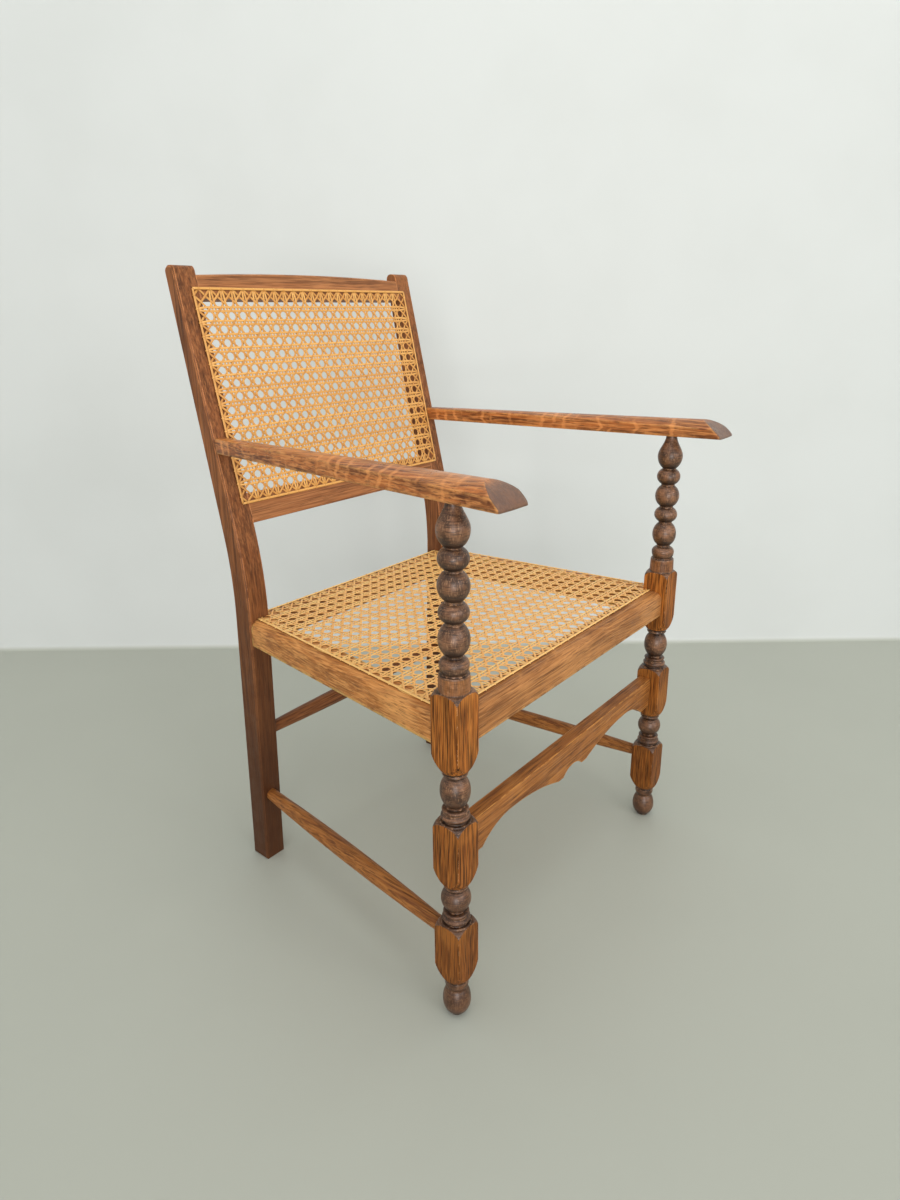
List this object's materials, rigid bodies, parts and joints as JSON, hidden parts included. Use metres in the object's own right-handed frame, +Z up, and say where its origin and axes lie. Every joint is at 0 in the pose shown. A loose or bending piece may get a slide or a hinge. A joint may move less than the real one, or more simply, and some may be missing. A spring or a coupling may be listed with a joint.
{
  "type": "caned armchair with bobbin-turned front posts",
  "caption": "Open wooden armchair with bobbin-turned front posts, flat tapering arms, shaped front stretcher, raked back, and woven cane seat and back panels.",
  "frame": {"origin": "on the floor, under the middle of the chair's bounding box", "axes": "+Z up, -Y the way the sitter faces, +X the sitter's left"},
  "size_m": [0.5588, 0.5736, 0.866],
  "materials": {
    "turned_oak": "dark oiled oak, dull in the turnings, dusty in the grooves",
    "frame_oak": "dark red-brown oak, satin",
    "rail_oak": "worn mid-brown oak, satin",
    "arm_oak": "polished brown oak, worn paler on top",
    "stretcher_oak": "dark oak, satin",
    "cane": "honey-coloured aged cane, slightly glossy",
    "cane_binder": "honey-coloured flat cane strip, slightly glossy"
  },
  "bodies": {
    "root": {"front_post_right": "turned_oak", "front_post_left": "turned_oak", "rear_post_right": "frame_oak", "rear_post_left": "frame_oak", "back_top_rail": "frame_oak", "back_lower_rail": "frame_oak", "seat_front_rail": "rail_oak", "seat_rear_rail": "rail_oak", "seat_side_rail_right": "rail_oak", "seat_side_rail_left": "rail_oak", "arm_right": "arm_oak", "arm_left": "arm_oak", "front_stretcher": "stretcher_oak", "side_stretcher_right": "stretcher_oak", "side_stretcher_left": "stretcher_oak", "rear_stretcher": "stretcher_oak", "seat_cane": "cane", "back_cane": "cane", "seat_binder_front": "cane_binder", "seat_binder_rear": "cane_binder", "seat_binder_right": "cane_binder", "seat_binder_left": "cane_binder", "back_binder_top": "cane_binder", "back_binder_lower": "cane_binder", "back_binder_right": "cane_binder", "back_binder_left": "cane_binder"}
  },
  "joints": []
}
